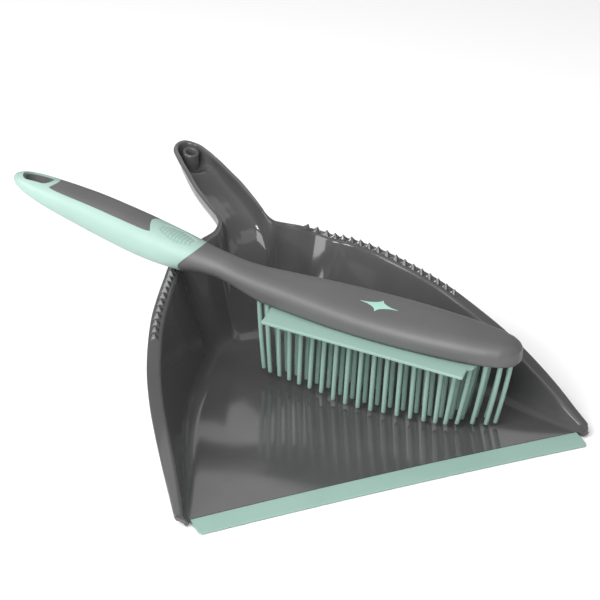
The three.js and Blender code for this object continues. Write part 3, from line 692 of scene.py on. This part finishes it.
def window_prism(grow):
    """The window's outline as a straight block, wider all round by grow."""
    end, flank = smooth_polyline(WINDOW_END, 4), smooth_polyline(WINDOW_FLANK, 4)
    notch = smooth_polyline(WINDOW_NOTCH, 5)
    half = [(s + grow, w) for s, w in end[:-1]] + [(flank[0][0] + grow, flank[0][1] + grow)]
    half += [(s, w + grow) for s, w in flank[1:-1]] + [(flank[-1][0] - grow, flank[-1][1] + grow)]
    half += [(s - grow, w) for s, w in notch[1:]]
    outline = half + [(s, -w) for s, w in half[-2:0:-1]]
    return weld(make("window", *prism(outline[::-1], WINDOW_SPAN["bottom"], 60)))


def slot_outline(grow, count=48):
    """Outline of the hanging hole, wider all round by grow: two half circles and two straights."""
    r, flat = HOLE["half_width"] + grow, HOLE["half_length"] - HOLE["half_width"]
    return [(HOLE["s"] + math.copysign(flat, math.cos(a)) + r * math.cos(a), r * math.sin(a))
            for a in angles(count, 0.5)]


def slot_solid(grow):
    """The hanging hole as a block that reaches right through the grip."""
    return weld(make("slot", *prism(slot_outline(grow), -10, 80)))


def brush_body(skin):
    """The rigid moulding: hollow head, neck, core inside the grip, window and the hanging hole's liner."""
    body = boolean(copy_of(skin, "brush_body_visual"), seam_solid(-GAP))
    core = skin_solid("core", CORE["start"], HOLE["s"] - CORE["before_hole"], CORE["skin"] + GAP, 3, 48)
    inlay = boolean(copy_of(skin, "inlay"), window_prism(0), "INTERSECT")
    block = skin_solid("inlay_block", WINDOW_SPAN["start"], WINDOW_SPAN["end"], 0, 1.2)
    inlay = boolean(inlay, block, "INTERSECT")
    start = HOLE["s"] - HOLE["half_length"] - HOLE["liner_reach"]
    end = HOLE["s"] + HOLE["half_length"] + HOLE["liner_reach"]
    eye = skin_solid("eye", start, end, CORE["ring_drop"], 1.2, 64)
    boolean(eye, slot_solid(HOLE["liner"]), "INTERSECT")
    for part in (core, inlay, eye):
        boolean(body, part, "UNION")
    recess = head_outline(HEAD["plate_inset"], INSERT["start"] - 0.4, INSERT["end"] + 0.4)
    boolean(body, weld(make("recess", *prism(recess, -3, HEAD["recess"]))))
    hollow = head_outline(HEAD["hollow_inset"], HEAD["hollow_from"], HEAD["hollow_to"])
    boolean(body, weld(make("hollow", *prism(hollow, 1, HEAD["hollow_top"]))))
    return boolean(body, slot_solid(0))


def grip(skin):
    """The soft sleeve round the core, with room for the window and the hanging hole's liner."""
    soft = boolean(copy_of(skin, "brush_grip_visual"), seam_solid(0), "INTERSECT")
    end = HOLE["s"] - CORE["before_hole"] + 0.4  # a little past the core's own end
    boolean(soft, skin_solid("bore", CORE["start"] - 4, end, CORE["skin"], 3, 48))
    boolean(soft, window_prism(GAP))
    return boolean(soft, slot_solid(HOLE["liner"] + GAP))


def finger_roots():
    """Roots on rings that follow the head's outline and round off at its end."""
    roots = []
    for ring in range(FINGER["rings"]):
        start, end = FINGER["start"] + ring * FINGER["end_gap"], FINGER["end"] - ring * FINGER["end_gap"]
        line = []
        for s, t in head_outline(FINGER["inset"] + ring * FINGER["row_gap"], start, end, 60):
            short = max(0, (FINGER["round_from"] - s) / (FINGER["round_from"] - start + 1.5))
            line.append(np.array([s, t * math.sqrt(1 - short**2)]))
        if ring == FINGER["rings"] - 1:
            line = [p for p in line if abs(p[1]) > FINGER["off_middle"]]
        lengths = [np.linalg.norm(line[(i + 1) % len(line)] - p) for i, p in enumerate(line)]
        total = sum(lengths)
        count = round(total / FINGER["pitch"])
        for k in range(count):
            d, i = total * (k + (ring % 2) * 0.5) / count, 0
            while d > lengths[i]:
                d, i = d - lengths[i], i + 1
            p = line[i] + (line[(i + 1) % len(line)] - line[i]) * d / lengths[i]
            if all(np.linalg.norm(q - p) > FINGER["apart"] for q in roots):
                roots.append(p)
    return roots


def finger_lean(s):
    """How far the tip leans along the brush: both ends of the head lean towards its middle."""
    if s < LEAN["head_from"]:
        return LEAN["head"] * min(1, (LEAN["head_from"] - s) / LEAN["head_over"])
    if s > LEAN["neck_from"]:
        return LEAN["neck"] * ((s - LEAN["neck_from"]) / LEAN["neck_over"]) ** LEAN["neck_curve"]
    return 0.0


def draw_in(s):
    """How far the fingers of the head end draw in and shorten."""
    return ramp((FINGER["drawn_from"] - s) / FINGER["drawn_over"]) ** 2


def finger_length(s):
    """Shortest at the head's end, longest just past its middle."""
    bulge = ramp((FINGER["bulge_reach"] - abs(s - FINGER["bulge_at"])) / FINGER["bulge_fade"])
    extra = ramp((s - FINGER["extra_from"]) / FINGER["extra_over"])
    return (FINGER["length"] - FINGER["drawn_shorter"] * draw_in(s) + FINGER["bulge"] * bulge
            + FINGER["extra"] * extra)


def finger(root, sides=14):
    """One tapered bristle with a small root fillet and a softened flat tip."""
    x0, y0 = root
    rings = []
    shaft = [(k / 12, 0) for k in range(1, 12)]
    for f, grow in [(0, 0.25), (0.014, 0.25), (0.022, 0.1), (0.035, 0), *shaft,
                    (0.990, 0), (0.996, -0.1), (1.0, -0.3)]:
        r = FINGER["root_r"] + (FINGER["tip_r"] - FINGER["root_r"]) * f + grow
        spread = FINGER["splay"] - FINGER["drawn_inwards"] * draw_in(x0)
        x, y = x0 + finger_lean(x0) * f**1.3, y0 * (1 + spread * f)
        z = 0.5 - (finger_length(x0) + 0.5) * f
        rings.append([(x + r * math.cos(a), y + r * math.sin(a), z) for a in reversed(angles(sides))])
    return tube(rings)


def blade():
    """Thin scraper plate beside the bristles: notched ends and softened edges."""
    inner = [p for p in head_outline(HEAD["plate_inset"] + 1.0, BLADE["start"], BLADE["end"]) if p[1] > 0]
    plate = weld(make("blade", *prism(inner[::-1] + BLADE_EDGE, -BLADE["below"], -BLADE["above"] + 0.14)))
    bm = bmesh.new()
    bm.from_mesh(plate.data)
    edges = [e for e in bm.edges if e.is_manifold and e.calc_face_angle(0) > 0.3]
    bmesh.ops.bevel(bm, geom=edges, offset=0.25, segments=3, profile=0.5, affect="EDGES")
    bm.to_mesh(plate.data)
    bm.free()
    return plate


def insert(skin):
    """The soft moulding under the head: base plate, scraper blade and fingers in one piece."""
    outline = head_outline(HEAD["plate_inset"] + 0.1, INSERT["start"] - 0.2, INSERT["end"] + 0.2)
    base = weld(make("brush_insert_visual", *prism(outline, -1, INSERT["above"])))
    boolean(base, copy_of(skin, "skin_cut"), "INTERSECT")
    boolean(base, blade(), "UNION")
    return boolean(base, weld(join("fingers", [finger(p) for p in finger_roots()])), "UNION")


skin = skin_solid("skin", pad=True)
for shape, material, slot, cad in (
        (brush_body(skin), SATIN, "grey_plastic", ["brush_body"]),
        (grip(skin), MINT, "mint_rubber", ["brush_grip"]),
        # The insert takes the darker copy of the mint rubber: painted shade on the same rubber as the grip.
        (insert(skin), MINT_SHADED, "mint_rubber", ["brush_insert", "brush_blade"])):
    finish_piece(shape, material, "brush", cad, matrix=TO_BRUSH)
bpy.data.objects.remove(skin)


def emblem():
    """A generic four-pointed sparkle, printed proud of the head's top."""
    centre, curve, rings = (EMBLEM["s"], EMBLEM["t"]), EMBLEM["curve"], EMBLEM["rings"]
    outline = []
    for a in angles(EMBLEM["points"]):
        c, s = abs(math.cos(a)) + 1e-9, abs(math.sin(a)) + 1e-9
        r = (c**curve + s**curve) ** (-1 / curve)
        outline.append((centre[0] + EMBLEM["long"] * r * math.cos(a),
                        centre[1] + EMBLEM["short"] * r * math.sin(a)))
    points, faces = [], []
    for layer in (-EMBLEM["sunk"], EMBLEM["proud"]):
        for k in range(rings):
            f = 1 - k / rings
            for s, t in outline:
                u, v = centre[0] + (s - centre[0]) * f, centre[1] + (t - centre[1]) * f
                points.append((u, v, skin_top(u, v) + layer))
        points.append((*centre, skin_top(*centre) + layer))
    n, block = len(outline), rings * len(outline) + 1
    for layer in (0, 1):
        for k in range(rings - 1):
            for j in range(n):
                a, b = layer * block + k * n + j, layer * block + k * n + (j + 1) % n
                faces.append((a, b, b + n, a + n) if layer else (a, a + n, b + n, b))
        last = layer * block + (rings - 1) * n
        for j in range(n):
            a, b = last + j, last + (j + 1) % n
            faces.append((a, b, last + n) if layer else (a, last + n, b))
    for j in range(n):
        a, b = j, (j + 1) % n
        faces.append((a, b, b + block, a + block))
    return weld(make("head_emblem", points, faces), 0.001)


finish_piece(emblem(), PRINT, "brush", matrix=TO_BRUSH, tidy=0.001)

# ------------------------------------------------------------------ floor, light and camera
BOX_CENTRE = (CAD_BOX[0] + CAD_BOX[1]) / 2
FLOOR = dict(half_size=4.0, drop=0.0004, grey=0.92)  # metres; just under the pan
CAMERA = dict(azimuth=-23.92, elevation=26.0, distance=1.5213, target=(0.0457, 0.1377, 0.0), lens=144.0)
# Each softbox: azimuth | elevation | distance in metres | width and height in metres | watts
LIGHTS = dict(
    key=(-50, 36, 1.4, (1.3, 1.3), 31),
    kicker=(-108, 32, 1.3, (0.35, 0.35), 7),
    fill=(62, 35, 1.8, (1.2, 0.9), 2),
    back=(160, 30, 1.9, (1.1, 0.6), 1.4),
    top=(10, 82, 1.5, (1.3, 1.3), 5),
)
WORLD_STRENGTH = 0.4


def floor():
    size, z = FLOOR["half_size"], CAD_BOX[0].z - FLOOR["drop"]
    corners = [(x * size, y * size, z) for x, y in ((-1, -1), (1, -1), (1, 1), (-1, 1))]
    plane = make("studio_floor", corners, [(0, 1, 2, 3)])
    mat, _, shader = nodes_of("studio_paper", (FLOOR["grey"],) * 3, 0.9)
    shader.inputs["Specular IOR Level"].default_value = 0.1
    plane.data.materials.append(mat)


def look_at(obj, target, azimuth, elevation, distance):
    """Places a light or camera by compass angle seen from the front, and aims it at the target."""
    a, e = math.radians(azimuth), math.radians(elevation)
    back = Vector((math.sin(a) * math.cos(e), -math.cos(a) * math.cos(e), math.sin(e)))
    obj.location = target + back * distance
    obj.rotation_euler = back.to_track_quat("Z", "Y").to_euler()
    bpy.context.scene.collection.objects.link(obj)


def softbox(name, azimuth, elevation, distance, size, watts):
    """Rectangular softbox aimed at the object."""
    light = bpy.data.lights.new(name, "AREA")
    light.shape, light.size, light.size_y = "RECTANGLE", *size
    light.energy = watts
    look_at(bpy.data.objects.new(name, light), BOX_CENTRE, azimuth, elevation, distance)


def camera():
    """The photograph's viewpoint."""
    data = bpy.data.cameras.new("camera")
    data.sensor_width, data.lens = 36.0, CAMERA["lens"]
    data.clip_start, data.clip_end = 0.05, 30.0
    obj = bpy.data.objects.new("camera", data)
    look_at(obj, Vector(CAMERA["target"]), CAMERA["azimuth"], CAMERA["elevation"], CAMERA["distance"])
    bpy.context.scene.camera = obj


def surroundings():
    """Even white light from all sides."""
    world = bpy.data.worlds.new("studio")
    world.use_nodes = True
    background = world.node_tree.nodes["Background"]
    background.inputs["Color"].default_value = (1, 1, 1, 1)
    background.inputs["Strength"].default_value = WORLD_STRENGTH
    bpy.context.scene.world = world


floor()
for name, settings in LIGHTS.items():
    softbox(name, *settings)
surroundings()
camera()
bpy.context.scene.view_settings.view_transform = "Standard"
